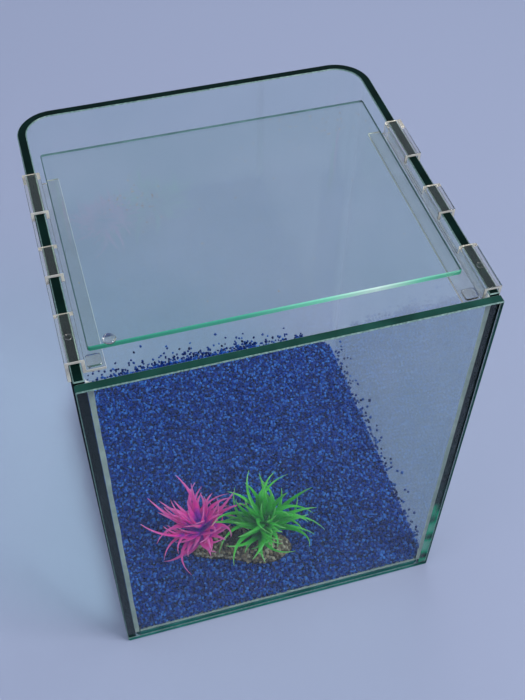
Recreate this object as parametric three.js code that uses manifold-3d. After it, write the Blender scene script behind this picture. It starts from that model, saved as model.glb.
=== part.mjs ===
// A ten litre nano aquarium: a bent-glass body closed by a bonded front pane and an inset base,
// two clear clip-on rails that carry a loose glass lid, and inside it a gravel bed with a
// plastic plant ornament. Millimetres, +Z up, the origin at the middle of the underside.
// The width runs along X, the front pane faces -Y.
import * as THREE from 'three';
import { mergeVertices } from 'three/addons/utils/BufferGeometryUtils.js';
import Module from 'manifold-3d';

const wasm = await Module();
wasm.setup();

// --- driving dimensions --------------------------------------------------------------------
const TANK_WIDTH = 200;
const TANK_DEPTH = 200;
const TANK_HEIGHT = 250;
const GLASS = 5;
const BEND_RADIUS = 20;
const ARRIS = 0.5;
const FIT_GAP = 0.3;
const BOND_LINE = 1;
const BEAD_LEG = 2.5;
const ARC_STEPS = 12;

const LID_WIDTH = 181;
const LID_DEPTH = 140;
const LID_THICKNESS = 3;
const LID_FRONT_Y = -74;
const LID_DROP = 5;

const RAIL_WALL = 1.7;
const RAIL_LEDGE = 10.7;
const RAIL_FLANGE_DROP = 11;
const RAIL_NOTCH_DROP = 3.2;
const HOOK_LENGTHS = [30, 20.5, 30];
const HOOK_SPACING = 25;
const RIGHT_RAIL_FRONT_Y = -91.8;
const LEFT_RAIL_FRONT_Y = -84;
const STOP_PAD = { width: 7, length: 7, height: 1.2, setback: 1 };

const BUMPER_RADIUS = 3.2;
const BUMPER_HEIGHT = 1.8;

const GRAVEL_LEVEL = 19;
const GRAVEL_CLEARANCE = 0.5;
const GRAVEL_CORNER_RADIUS = 5;
const ORNAMENT_LEVEL = 17;
const ORNAMENT_X = -18;
const ORNAMENT_Y = -62;

const PEG_RADIUS = 2;
const HUB_RADIUS = 4.2;
const HUB_HEIGHT = 3;
const HUB_PITCH = 4;
const BLADE_HALF_WIDTH = 1.35;
const BLADE_HALF_THICKNESS = 0.55;
const BLADE_TIP = 0.2;

// --- values worked out from them -----------------------------------------------------------
const HALF_WIDTH = TANK_WIDTH / 2;
const FRONT_Y = -TANK_DEPTH / 2;
const BACK_Y = TANK_DEPTH / 2;
const INNER_X = HALF_WIDTH - GLASS;
const INNER_FRONT_Y = FRONT_Y + GLASS;
const INNER_BACK_Y = BACK_Y - GLASS;
const INNER_RADIUS = BEND_RADIUS - GLASS;
const ARM_END_Y = INNER_FRONT_Y + BOND_LINE;
const LID_Z = TANK_HEIGHT - LID_DROP;
const RAIL_LENGTH = HOOK_LENGTHS.reduce((sum, length) => sum + length, 2 * HOOK_SPACING);

// --- materials -----------------------------------------------------------------------------
function material(color, roughness, opacity = 1) {
  return new THREE.MeshStandardMaterial({
    color, roughness, metalness: 0, opacity, transparent: opacity < 1,
  });
}

const GLASS_LOOK = material('#9fc4bd', 0.05, 0.3);
const SILICONE_LOOK = material('#c9d0cf', 0.45, 0.7);
const CLEAR_PLASTIC_LOOK = material('#e6e4dc', 0.12, 0.4);
const GRAVEL_LOOK = material('#1f3f8a', 0.6);
const ROCK_LOOK = material('#7d7263', 0.85);
const PINK_LOOK = material('#e0408f', 0.4);
const PURPLE_LOOK = material('#7c3aa0', 0.4);
const GREEN_LOOK = material('#4fae35', 0.4);

// --- helpers -------------------------------------------------------------------------------
function toSolid(geometry) {
  const bare = geometry.clone();
  bare.deleteAttribute('normal');
  bare.deleteAttribute('uv');
  const welded = mergeVertices(bare, 1e-4);
  return new wasm.Manifold(new wasm.Mesh({
    numProp: 3,
    vertProperties: new Float32Array(welded.attributes.position.array),
    triVerts: new Uint32Array(welded.index.array),
  }));
}

function toGeometry(solid) {
  const mesh = solid.getMesh();
  const geometry = new THREE.BufferGeometry();
  geometry.setAttribute('position', new THREE.BufferAttribute(mesh.vertProperties, 3));
  geometry.setIndex(new THREE.BufferAttribute(mesh.triVerts, 1));
  geometry.computeVertexNormals();
  return geometry;
}

// A closed body from a row of closed loops: quads between neighbours, a fan over each end.
// Every loop runs counter-clockwise seen from the last loop's side.
function loftLoops(loops) {
  const count = loops[0].length;
  const positions = loops.flat(2);
  const index = [];
  for (let row = 0; row + 1 < loops.length; row += 1) {
    for (let i = 0; i < count; i += 1) {
      const a = row * count + i;
      const b = row * count + ((i + 1) % count);
      index.push(a, b, b + count, a, b + count, a + count);
    }
  }
  const last = (loops.length - 1) * count;
  for (let i = 1; i + 1 < count; i += 1) {
    index.push(0, i + 1, i);
    index.push(last, last + i, last + i + 1);
  }
  const geometry = new THREE.BufferGeometry();
  geometry.setAttribute('position', new THREE.Float32BufferAttribute(positions, 3));
  geometry.setIndex(index);
  return geometry;
}

function boxGeometry(minimum, maximum) {
  const size = maximum.map((value, axis) => value - minimum[axis]);
  const geometry = new THREE.BoxGeometry(...size);
  geometry.translate(...minimum.map((value, axis) => value + size[axis] / 2));
  return geometry;
}

// A plate of the outline's shape between two heights, with its long edges arrised.
function arrisedPlate(shape, bottomZ, thickness, arris) {
  const geometry = new THREE.ExtrudeGeometry(shape, {
    depth: thickness - 2 * arris,
    bevelThickness: arris,
    bevelSize: arris,
    bevelOffset: -arris,
    bevelSegments: 1,
    curveSegments: ARC_STEPS,
  });
  geometry.translate(0, 0, bottomZ + arris);
  return geometry;
}

function plainPrism(shape, bottomZ, height) {
  const geometry = new THREE.ExtrudeGeometry(shape, {
    depth: height, bevelEnabled: false, curveSegments: ARC_STEPS,
  });
  geometry.translate(0, 0, bottomZ);
  return geometry;
}

function polygonShape(points) {
  return new THREE.Shape(points.map(([x, y]) => new THREE.Vector2(x, y)));
}

// A rectangle about the Y axis with one radius at its two rear corners and one at the front.
function roundedOutline(halfX, frontY, backY, rearRadius, frontRadius) {
  const shape = new THREE.Shape();
  shape.moveTo(-halfX + frontRadius, frontY);
  shape.lineTo(halfX - frontRadius, frontY);
  shape.absarc(halfX - frontRadius, frontY + frontRadius, frontRadius, -Math.PI / 2, 0);
  shape.lineTo(halfX, backY - rearRadius);
  shape.absarc(halfX - rearRadius, backY - rearRadius, rearRadius, 0, Math.PI / 2);
  shape.lineTo(-halfX + rearRadius, backY);
  shape.absarc(-halfX + rearRadius, backY - rearRadius, rearRadius, Math.PI / 2, Math.PI);
  shape.lineTo(-halfX, frontY + frontRadius);
  shape.absarc(-halfX + frontRadius, frontY + frontRadius, frontRadius, Math.PI, 1.5 * Math.PI);
  return shape;
}

// The section of a tooled silicone fillet in its corner: two legs and a hollow face.
function beadSection() {
  const steps = 4;
  const section = [[0, 0]];
  for (let i = 0; i <= steps; i += 1) {
    const angle = -Math.PI / 2 - (i / steps) * (Math.PI / 2);
    section.push([BEAD_LEG + BEAD_LEG * Math.cos(angle), BEAD_LEG + BEAD_LEG * Math.sin(angle)]);
  }
  return section;
}

const tank = new THREE.Group();

function addPart(parent, name, geometry, look) {
  const mesh = new THREE.Mesh(geometry, look);
  mesh.name = name;
  parent.add(mesh);
  return mesh;
}

// --- glass ---------------------------------------------------------------------------------
// Left arm, back and right arm bent from one sheet, open towards the front pane.
function bentBodyGeometry() {
  const bendX = HALF_WIDTH - BEND_RADIUS;
  const bendY = BACK_Y - BEND_RADIUS;
  const shape = new THREE.Shape();
  shape.moveTo(HALF_WIDTH, ARM_END_Y);
  shape.lineTo(HALF_WIDTH, bendY);
  shape.absarc(bendX, bendY, BEND_RADIUS, 0, Math.PI / 2);
  shape.lineTo(-bendX, BACK_Y);
  shape.absarc(-bendX, bendY, BEND_RADIUS, Math.PI / 2, Math.PI);
  shape.lineTo(-HALF_WIDTH, ARM_END_Y);
  shape.lineTo(-INNER_X, ARM_END_Y);
  shape.lineTo(-INNER_X, bendY);
  shape.absarc(-bendX, bendY, INNER_RADIUS, Math.PI, Math.PI / 2, true);
  shape.lineTo(bendX, INNER_BACK_Y);
  shape.absarc(bendX, bendY, INNER_RADIUS, Math.PI / 2, 0, true);
  shape.lineTo(INNER_X, ARM_END_Y);
  return arrisedPlate(shape, 0, TANK_HEIGHT, ARRIS);
}

function frontPaneGeometry() {
  const outline = polygonShape([
    [-HALF_WIDTH, 0], [HALF_WIDTH, 0], [HALF_WIDTH, TANK_HEIGHT], [-HALF_WIDTH, TANK_HEIGHT],
  ]);
  const geometry = arrisedPlate(outline, 0, GLASS, ARRIS);
  geometry.rotateX(Math.PI / 2);
  geometry.translate(0, INNER_FRONT_Y, 0);
  return geometry;
}

function basePaneGeometry() {
  const clearance = 0.7;
  const frontRadius = 2;
  const outline = roundedOutline(INNER_X - clearance, ARM_END_Y, INNER_BACK_Y - clearance,
    INNER_RADIUS - clearance, frontRadius);
  return arrisedPlate(outline, 0, GLASS, ARRIS);
}

// --- silicone ------------------------------------------------------------------------------
// The bond between an arm's end and the front pane, with its fillet in the inside corner.
function frontSeamGeometry(side) {
  const edgeInset = 0.5;
  const nearY = INNER_FRONT_Y + FIT_GAP;
  const farY = ARM_END_Y - FIT_GAP;
  const cornerX = INNER_X - FIT_GAP;
  const film = toSolid(boxGeometry(
    [Math.min(side * cornerX, side * (HALF_WIDTH - edgeInset)), nearY, edgeInset],
    [Math.max(side * cornerX, side * (HALF_WIDTH - edgeInset)), farY, TANK_HEIGHT - edgeInset],
  ));
  const bottomZ = GLASS + FIT_GAP;
  const points = beadSection().map(([u, v]) => [side * (cornerX - u), nearY + v]);
  const bead = plainPrism(polygonShape(points), bottomZ, TANK_HEIGHT - edgeInset - bottomZ);
  return toGeometry(film.add(toSolid(bead)));
}

// The fillet along the front of the base, with the bond under it.
function baseFrontSeamGeometry() {
  const nearY = INNER_FRONT_Y + FIT_GAP;
  const bottomZ = GLASS + FIT_GAP;
  const halfLength = INNER_X - BEAD_LEG - 2 * FIT_GAP;
  const loops = [-halfLength, halfLength].map((x) => beadSection()
    .map(([u, v]) => [x, nearY + u, bottomZ + v]));
  const bead = toSolid(loftLoops(loops));
  const film = toSolid(boxGeometry(
    [-halfLength, nearY, ARRIS],
    [halfLength, ARM_END_Y - FIT_GAP, bottomZ + BEAD_LEG / 2],
  ));
  return toGeometry(bead.add(film));
}

// The fillet along the base at the left arm, the back and the right arm.
function baseRearSeamGeometry() {
  const inset = FIT_GAP;
  const bottomZ = GLASS + FIT_GAP;
  const radius = INNER_RADIUS - inset;
  const startY = INNER_FRONT_Y + BEAD_LEG + 3 * FIT_GAP;
  const bendX = INNER_X - INNER_RADIUS;
  const bendY = INNER_BACK_Y - INNER_RADIUS;
  const stations = [[INNER_X - inset, startY, 1, 0]];
  for (const side of [1, -1]) {
    for (let i = 0; i <= ARC_STEPS; i += 1) {
      const turn = (i / ARC_STEPS) * (Math.PI / 2);
      const angle = side > 0 ? turn : Math.PI / 2 + turn;
      const outward = [Math.cos(angle), Math.sin(angle)];
      stations.push([side * bendX + radius * outward[0], bendY + radius * outward[1], ...outward]);
    }
  }
  stations.push([-INNER_X + inset, startY, -1, 0]);
  const loops = stations.map(([x, y, outX, outY]) => beadSection()
    .map(([u, v]) => [x - u * outX, y - u * outY, bottomZ + v]));
  return loftLoops(loops);
}

// --- lid and rails -------------------------------------------------------------------------
// A channel that straddles the rim at three hooks, with a ledge inside for the lid. It is
// drawn for the right arm with its front end at y = 0, and mirrored for the left.
function lidRailGeometry(side) {
  const webX = INNER_X - FIT_GAP;
  const flangeX = HALF_WIDTH + FIT_GAP;
  const outerX = flangeX + RAIL_WALL;
  const ledgeTop = LID_Z - FIT_GAP;
  const ledgeBottom = ledgeTop - RAIL_WALL;
  const bridgeBottom = TANK_HEIGHT + FIT_GAP;
  const topZ = bridgeBottom + RAIL_WALL;
  const ease = 0.5;
  const section = [
    [webX - RAIL_LEDGE, ledgeBottom], [webX, ledgeBottom],
    [webX, bridgeBottom], [flangeX, bridgeBottom],
    [flangeX, TANK_HEIGHT - RAIL_FLANGE_DROP], [outerX, TANK_HEIGHT - RAIL_FLANGE_DROP],
    [outerX, topZ - ease], [outerX - ease, topZ],
    [webX - RAIL_WALL + ease, topZ], [webX - RAIL_WALL, topZ - ease],
    [webX - RAIL_WALL, ledgeTop], [webX - RAIL_LEDGE, ledgeTop],
  ];
  const prism = plainPrism(polygonShape(section), 0, RAIL_LENGTH);
  prism.rotateX(Math.PI / 2);
  prism.translate(0, RAIL_LENGTH, 0);
  let solid = toSolid(prism);

  let y = 0;
  for (const length of HOOK_LENGTHS.slice(0, -1)) {
    y += length;
    solid = solid.subtract(toSolid(boxGeometry(
      [webX - 2 * RAIL_WALL, y, TANK_HEIGHT - RAIL_NOTCH_DROP],
      [outerX + 1, y + HOOK_SPACING, topZ + 1],
    )));
    y += HOOK_SPACING;
  }

  const padX = webX - RAIL_LEDGE + 1.3;
  solid = solid.add(toSolid(boxGeometry(
    [padX, STOP_PAD.setback, ledgeBottom + RAIL_WALL / 2],
    [padX + STOP_PAD.width, STOP_PAD.setback + STOP_PAD.length, ledgeTop + STOP_PAD.height],
  )));
  const geometry = toGeometry(solid);
  if (side < 0) {
    mirrorAcrossYZ(geometry);
  }
  return geometry;
}

function mirrorAcrossYZ(geometry) {
  geometry.scale(-1, 1, 1);
  const index = geometry.index.array;
  for (let i = 0; i < index.length; i += 3) {
    const first = index[i];
    index[i] = index[i + 1];
    index[i + 1] = first;
  }
  geometry.computeVertexNormals();
}

function lidGlassGeometry() {
  const cornerRadius = 1.5;
  const arris = 0.4;
  const outline = roundedOutline(LID_WIDTH / 2, LID_FRONT_Y, LID_FRONT_Y + LID_DEPTH,
    cornerRadius, cornerRadius);
  const geometry = new THREE.ExtrudeGeometry(outline, {
    depth: LID_THICKNESS - 2 * arris,
    bevelThickness: arris,
    bevelSize: arris,
    bevelOffset: -arris,
    bevelSegments: 1,
    curveSegments: 4,
  });
  geometry.translate(0, 0, LID_Z + arris);
  return geometry;
}

// A self-adhesive clear dot: a short wall under a shallow dome.
function bumperGeometry() {
  const wallHeight = 0.6;
  const domeSteps = 4;
  const profile = [new THREE.Vector2(0, 0), new THREE.Vector2(BUMPER_RADIUS, 0)];
  for (let i = 0; i <= domeSteps; i += 1) {
    const angle = (i / domeSteps) * (Math.PI / 2);
    const radius = i === domeSteps ? 0 : BUMPER_RADIUS * Math.cos(angle);
    const height = wallHeight + (BUMPER_HEIGHT - wallHeight) * Math.sin(angle);
    profile.push(new THREE.Vector2(radius, height));
  }
  const geometry = new THREE.LatheGeometry(profile, 20);
  geometry.rotateX(Math.PI / 2);
  return geometry;
}

// --- gravel --------------------------------------------------------------------------------
// Height of the gravel: banked up towards the back, thinner at the right, level under the
// ornament.
function gravelHeight(x, y) {
  const bank = 7 * Math.exp(-(((x + 10) / 75) ** 2) - (((y - 95) / 80) ** 2));
  const ripple = 0.8 * Math.sin(x / 17 + 1) * Math.cos(y / 21);
  const distance = Math.hypot((x - ORNAMENT_X) / 50, (y - ORNAMENT_Y) / 30);
  const blend = Math.min(1, Math.max(0, distance - 1));
  return ORNAMENT_LEVEL + (GRAVEL_LEVEL + bank + ripple - ORNAMENT_LEVEL) * blend;
}

// Loops of one outline drawn in towards the middle; the lowest keeps clear of the fillets.
function gravelGeometry() {
  const outlineOf = (inset) => roundedOutline(INNER_X - inset, INNER_FRONT_Y + inset,
    INNER_BACK_Y - inset, INNER_RADIUS - inset, GRAVEL_CORNER_RADIUS)
    .getSpacedPoints(64).slice(0, -1).map((point) => [point.x, point.y]);
  const wall = outlineOf(GRAVEL_CLEARANCE);
  const foot = outlineOf(BEAD_LEG + 3 * FIT_GAP);
  const footZ = GLASS + FIT_GAP;
  const shoulderZ = footZ + BEAD_LEG + FIT_GAP;
  const loops = [
    foot.map(([x, y]) => [x, y, footZ]),
    foot.map(([x, y]) => [x, y, shoulderZ - 1]),
    wall.map(([x, y]) => [x, y, shoulderZ + 1]),
  ];
  for (const scale of [1, 0.87, 0.74, 0.61, 0.48, 0.35, 0.22, 0.1]) {
    loops.push(wall.map(([x, y]) => {
      const px = x * scale + ORNAMENT_X * (1 - scale);
      const py = y * scale + ORNAMENT_Y * (1 - scale);
      return [px, py, gravelHeight(px, py)];
    }));
  }
  return loftLoops(loops);
}

// --- ornament ------------------------------------------------------------------------------
const ROCK = { length: 70, depth: 30, height: 13, turn: -0.26 };
const PLANTS = [
  {
    colour: 'pink', look: PINK_LOOK, crownLook: PURPLE_LOOK, x: -23, y: 1, leanX: -0.22,
    leanY: -0.24, reach: 32, away: Math.PI,
  },
  {
    colour: 'green', look: GREEN_LOOK, crownLook: GREEN_LOOK, x: 15.5, y: 4, leanX: -0.12,
    leanY: 0.1, reach: 38, away: 0,
  },
];
const WHORLS = [
  { name: 'lower', blades: 8, elevation: 0.2, curl: 0.1, scale: 1, phase: 0.2 },
  { name: 'middle', blades: 8, elevation: 0.68, curl: 0.06, scale: 0.95, phase: 0.55 },
  { name: 'upper', blades: 6, elevation: 1.15, curl: 0.02, scale: 0.8, phase: 0.1 },
];
const SOCKET_DEPTH = 7;
const STEM_FOOT_RISE = 1.5;

// Where a plant's peg leaves the rock, and how the plant leans there.
function plantMatrix(plant) {
  const matrix = new THREE.Matrix4();
  matrix.makeRotationFromEuler(new THREE.Euler(plant.leanX, plant.leanY, 0));
  matrix.setPosition(plant.x, plant.y, ROCK.height + STEM_FOOT_RISE);
  return matrix;
}

// A lumpy cobble with a flat underside and a socket for each plant's peg.
function rockGeometry() {
  const around = 28;
  const levels = 7;
  const topAngle = 0.94 * (Math.PI / 2);
  const loops = [];
  for (let level = 0; level <= levels; level += 1) {
    const rise = Math.sin((level / levels) * topAngle);
    const spread = Math.cos((level / levels) * topAngle) ** 0.55;
    const loop = [];
    for (let i = 0; i < around; i += 1) {
      const angle = (i / around) * 2 * Math.PI;
      const lump = 1 + 0.05 * Math.sin(5 * angle + 2 * level) + 0.03 * Math.cos(9 * angle);
      loop.push([
        (ROCK.length / 2) * spread * lump * Math.cos(angle),
        (ROCK.depth / 2) * spread * lump * Math.sin(angle),
        ROCK.height * rise,
      ]);
    }
    loops.push(loop);
  }
  let solid = toSolid(loftLoops(loops));
  for (const plant of PLANTS) {
    const drill = new THREE.CylinderGeometry(PEG_RADIUS + FIT_GAP, PEG_RADIUS + FIT_GAP, 20, 16);
    drill.rotateX(Math.PI / 2);
    drill.translate(0, 0, 10 - SOCKET_DEPTH - FIT_GAP);
    drill.applyMatrix4(plantMatrix(plant));
    solid = solid.subtract(toSolid(drill));
  }
  return toGeometry(solid);
}

// The stem that the whorls are threaded on, from the socket to its rounded tip.
function crownGeometry() {
  const top = WHORLS.length * HUB_PITCH + 1;
  const profile = [
    [0, -SOCKET_DEPTH], [PEG_RADIUS, -SOCKET_DEPTH], [PEG_RADIUS, top],
    [PEG_RADIUS * 0.7, top + 1.4], [0, top + 2],
  ].map(([radius, height]) => new THREE.Vector2(radius, height));
  const geometry = new THREE.LatheGeometry(profile, 14);
  geometry.rotateX(Math.PI / 2);
  return geometry;
}

// One pointed blade: a flat diamond section that narrows along a rising, curling line.
function bladeGeometry(azimuth, length, whorl, baseZ) {
  const steps = 5;
  const rootRadius = HUB_RADIUS - 1;
  const loops = [];
  for (let i = 0; i <= steps; i += 1) {
    const s = i / steps;
    const radius = rootRadius + length * s * Math.cos(whorl.elevation);
    const z = baseZ + length * (s * Math.sin(whorl.elevation) + whorl.curl * s * s);
    const half = BLADE_HALF_WIDTH * (1 - s) ** 0.7 + BLADE_TIP;
    const thick = BLADE_HALF_THICKNESS * (1 - s) + BLADE_TIP;
    const along = [Math.cos(azimuth), Math.sin(azimuth)];
    const upR = -Math.sin(whorl.elevation);
    const upZ = Math.cos(whorl.elevation);
    loops.push([[half, 0], [0, thick], [-half, 0], [0, -thick]].map(([sideways, up]) => [
      (radius + up * upR) * along[0] - sideways * along[1],
      (radius + up * upR) * along[1] + sideways * along[0],
      z + up * upZ,
    ]));
  }
  return loftLoops(loops);
}

// A moulded whorl: a ring that slips over the stem, with its blades. Blades that point at
// the neighbouring plant or at the front pane are shorter.
function whorlGeometry(plant, whorl, level) {
  const bottom = FIT_GAP + level * HUB_PITCH;
  const ring = new THREE.CylinderGeometry(HUB_RADIUS, HUB_RADIUS, HUB_HEIGHT, 16);
  ring.rotateX(Math.PI / 2);
  ring.translate(0, 0, bottom + HUB_HEIGHT / 2);
  let solid = toSolid(ring);
  for (let i = 0; i < whorl.blades; i += 1) {
    const azimuth = plant.away + whorl.phase + (i / whorl.blades) * 2 * Math.PI;
    const towards = Math.max(0, -Math.cos(azimuth - plant.away));
    const forwards = Math.max(0, -Math.sin(azimuth + ROCK.turn));
    const variety = 1 + 0.12 * Math.sin(2.7 * i + level + plant.reach);
    const room = (1 - 0.62 * towards) * (1 - 0.34 * forwards);
    const length = plant.reach * whorl.scale * variety * room;
    solid = solid.add(toSolid(bladeGeometry(azimuth, length, whorl, bottom + HUB_HEIGHT / 2)));
  }
  const bore = new THREE.CylinderGeometry(PEG_RADIUS + FIT_GAP, PEG_RADIUS + FIT_GAP, 40, 16);
  bore.rotateX(Math.PI / 2);
  return toGeometry(solid.subtract(toSolid(bore)));
}

// --- assembly ------------------------------------------------------------------------------
addPart(tank, 'bent_glass_body', bentBodyGeometry(), GLASS_LOOK);
addPart(tank, 'front_pane', frontPaneGeometry(), GLASS_LOOK);
addPart(tank, 'base_pane', basePaneGeometry(), GLASS_LOOK);
addPart(tank, 'front_seam_left', frontSeamGeometry(-1), SILICONE_LOOK);
addPart(tank, 'front_seam_right', frontSeamGeometry(1), SILICONE_LOOK);
addPart(tank, 'base_seam_front', baseFrontSeamGeometry(), SILICONE_LOOK);
addPart(tank, 'base_seam_rear', baseRearSeamGeometry(), SILICONE_LOOK);

const leftRail = addPart(tank, 'left_lid_rail', lidRailGeometry(-1), CLEAR_PLASTIC_LOOK);
leftRail.position.y = LEFT_RAIL_FRONT_Y;
const rightRail = addPart(tank, 'right_lid_rail', lidRailGeometry(1), CLEAR_PLASTIC_LOOK);
rightRail.position.y = RIGHT_RAIL_FRONT_Y;
addPart(tank, 'lid_glass', lidGlassGeometry(), GLASS_LOOK);
const bumper = addPart(tank, 'lid_bumper', bumperGeometry(), CLEAR_PLASTIC_LOOK);
bumper.position.set(-80, LID_FRONT_Y + 2, LID_Z + LID_THICKNESS + FIT_GAP);

addPart(tank, 'gravel_bed', gravelGeometry(), GRAVEL_LOOK);

const ornament = new THREE.Group();
ornament.position.set(ORNAMENT_X, ORNAMENT_Y, ORNAMENT_LEVEL + FIT_GAP);
ornament.rotation.z = ROCK.turn;
tank.add(ornament);
addPart(ornament, 'ornament_rock', rockGeometry(), ROCK_LOOK);
for (const plant of PLANTS) {
  const stand = new THREE.Group();
  stand.applyMatrix4(plantMatrix(plant));
  ornament.add(stand);
  addPart(stand, `${plant.colour}_plant_stem`, crownGeometry(), plant.crownLook);
  WHORLS.forEach((whorl, level) => {
    const name = `${plant.colour}_whorl_${whorl.name}`;
    addPart(stand, name, whorlGeometry(plant, whorl, level), plant.look);
  });
}

export default tank;
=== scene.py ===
"""Looks of a small bent-glass aquarium: polished glass with dark cut edges, silicone fillets,
clear moulded lid rails, blue gravel and a plastic plant ornament. Metres, +Z up."""

import math

import bpy
import numpy as np
from mathutils import Matrix, Vector


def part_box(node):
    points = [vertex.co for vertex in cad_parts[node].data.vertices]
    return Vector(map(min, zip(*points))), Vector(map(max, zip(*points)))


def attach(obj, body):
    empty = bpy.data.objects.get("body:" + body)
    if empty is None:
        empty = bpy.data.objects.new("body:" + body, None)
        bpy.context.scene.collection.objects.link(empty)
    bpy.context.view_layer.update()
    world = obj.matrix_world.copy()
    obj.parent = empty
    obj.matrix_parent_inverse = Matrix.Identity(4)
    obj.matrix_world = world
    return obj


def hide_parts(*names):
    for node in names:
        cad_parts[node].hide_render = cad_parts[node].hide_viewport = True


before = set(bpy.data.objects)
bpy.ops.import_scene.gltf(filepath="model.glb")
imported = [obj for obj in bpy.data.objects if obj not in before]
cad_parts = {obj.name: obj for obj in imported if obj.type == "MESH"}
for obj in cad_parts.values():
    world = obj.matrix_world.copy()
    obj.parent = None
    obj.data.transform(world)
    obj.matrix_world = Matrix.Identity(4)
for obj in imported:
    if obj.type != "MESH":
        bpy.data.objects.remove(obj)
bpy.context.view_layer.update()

MM = 0.001

# --- sizes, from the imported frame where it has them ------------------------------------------
BODY_LOW, BODY_HIGH = (np.array(corner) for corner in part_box("bent_glass_body"))
PANE_LOW, PANE_HIGH = (np.array(corner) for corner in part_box("front_pane"))
BASE_LOW, BASE_HIGH = (np.array(corner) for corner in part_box("base_pane"))
LID_LOW, LID_HIGH = (np.array(corner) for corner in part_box("lid_glass"))
BUMPER_LOW, BUMPER_HIGH = (np.array(corner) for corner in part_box("lid_bumper"))
BED_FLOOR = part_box("gravel_bed")[0][2]

GLASS = PANE_HIGH[1] - PANE_LOW[1]
BEND_RADIUS = 20 * MM
INNER_RADIUS = BEND_RADIUS - GLASS
INNER_X = BODY_HIGH[0] - GLASS
INNER_FRONT_Y = PANE_HIGH[1]
INNER_BACK_Y = BODY_HIGH[1] - GLASS
ARRIS = 0.5 * MM
FIT_GAP = 0.3 * MM
BEAD_LEG = 2.5 * MM
CORNER_STEPS = 16
BOND = 0.4 * MM
BASE_GAP = 3.2 * MM
GRAIN = 2.0 * MM
CORE_CELL = 2.3 * MM
GLASS_IOR = 1.52
ACRYLIC_IOR = 1.49
SEED = 41


# --- making meshes ---------------------------------------------------------------------------
def grid_faces(rows, columns, close_columns=True):
    """Quads between the points of a grid stored row by row; close_columns joins the last
    column to the first."""
    row = np.arange(rows - 1)[:, None]
    column = np.arange(columns if close_columns else columns - 1)[None, :]
    after = (column + 1) % columns
    corners = [row * columns + column, row * columns + after,
               (row + 1) * columns + after, (row + 1) * columns + column]
    return np.stack(np.broadcast_arrays(*corners), axis=-1).reshape(-1, 4)


def capped_tube_faces(rows, columns):
    """Faces of a grid whose rows are closed loops, with a flat cap over each end."""
    faces = grid_faces(rows, columns).tolist()
    faces.append(list(range(columns))[::-1])
    faces.append(list(range((rows - 1) * columns, rows * columns)))
    return faces


def repeat_faces(faces, copies, points_each):
    """The same face list for each copy of a shape that is stored one copy after another."""
    shift = np.arange(copies)[:, None, None] * points_each
    return (np.asarray(faces)[None] + shift).reshape(-1, len(faces[0]))


def add_piece(name, points, faces, body, materials, face_slots=None, sharp=30, values=None):
    """Puts points and faces into one mesh that rides on a body. face_slots gives each face's
    material, sharp the angle in degrees past which an edge stays hard, and values a named
    number at each point."""
    mesh = bpy.data.meshes.new(name)
    mesh.from_pydata(np.asarray(points).reshape(-1, 3), [], [list(face) for face in faces])
    for material in materials:
        mesh.materials.append(material)
    if face_slots is not None:
        mesh.polygons.foreach_set("material_index", np.asarray(face_slots, dtype=np.int32))
    mesh.polygons.foreach_set("use_smooth", np.ones(len(mesh.polygons), dtype=bool))
    for value_name, numbers in (values or {}).items():
        layer = mesh.attributes.new(value_name, "FLOAT", "POINT")
        layer.data.foreach_set("value", np.asarray(numbers, dtype=np.float32).ravel())
    mesh.validate()
    mesh.set_sharp_from_angle(angle=math.radians(sharp))
    mesh.update()
    piece = bpy.data.objects.new(name, mesh)
    bpy.context.scene.collection.objects.link(piece)
    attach(piece, body)
    return piece


def arc(centre, radius, start, end, steps):
    """Points on a circle's arc between two angles in degrees, ends included."""
    angle = np.radians(np.linspace(start, end, steps + 1))
    return np.stack([centre[0] + radius * np.cos(angle), centre[1] + radius * np.sin(angle)], 1)


def full_turn(steps):
    """Evenly spread angles round a circle, in radians."""
    return np.linspace(0, 2 * np.pi, steps + 1)[:-1]


def rounded_outline(half_x, front, back, rear_radius, front_radius, steps=CORNER_STEPS):
    """A rectangle about the Y axis, counter-clockwise, with its rear and front corners
    rounded to two radii."""
    rear_x, rear_y = half_x - rear_radius, back - rear_radius
    front_x, front_y = half_x - front_radius, front + front_radius
    return np.vstack([
        arc((front_x, front_y), front_radius, -90, 0, steps),
        arc((rear_x, rear_y), rear_radius, 0, 90, steps),
        arc((-rear_x, rear_y), rear_radius, 90, 180, steps),
        arc((-front_x, front_y), front_radius, 180, 270, steps),
    ])


def plate(outline_at, thickness, arris):
    """A flat plate whose edge is ground: the outline drawn in by arris at both faces and full
    between them. outline_at(inset) gives the outline; returns points, faces and for each face
    its kind: 0 flat face, 1 cut edge, 2 arris."""
    levels = [(arris, 0), (0, arris), (0, thickness - arris), (arris, thickness)]
    loops = [np.column_stack([outline_at(inset), np.full(len(outline_at(inset)), height)])
             for inset, height in levels]
    count = len(loops[0])
    kinds = np.repeat([2, 1, 2], count).tolist() + [0, 0]
    return np.vstack(loops), capped_tube_faces(len(levels), count), kinds


# --- making materials ------------------------------------------------------------------------
def linear(hex_colour, alpha=1.0):
    """An sRGB hex colour as linear RGBA."""
    channels = np.array([int(hex_colour[i:i + 2], 16) / 255 for i in (1, 3, 5)])
    low = channels / 12.92
    high = ((channels + 0.055) / 1.055) ** 2.4
    return (*np.where(channels <= 0.04045, low, high), alpha)


def new_material(name):
    """An empty node material; returns the material and its node tree."""
    material = bpy.data.materials.new(name)
    material.use_nodes = True
    material.node_tree.nodes.clear()
    return material, material.node_tree


def node(tree, kind, settings=None, **inputs):
    """Adds a node; settings are its properties and inputs its sockets, by name or as _0, _1
    by number, each a value or another node's output socket."""
    made = tree.nodes.new(kind)
    for key, value in (settings or {}).items():
        setattr(made, key, value)
    for key, value in inputs.items():
        socket_name = int(key[1:]) if key[0] == "_" else key.replace("_", " ")
        socket = made.inputs[socket_name]
        if isinstance(value, bpy.types.NodeSocket):
            tree.links.new(value, socket)
        else:
            socket.default_value = value
    return made


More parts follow.
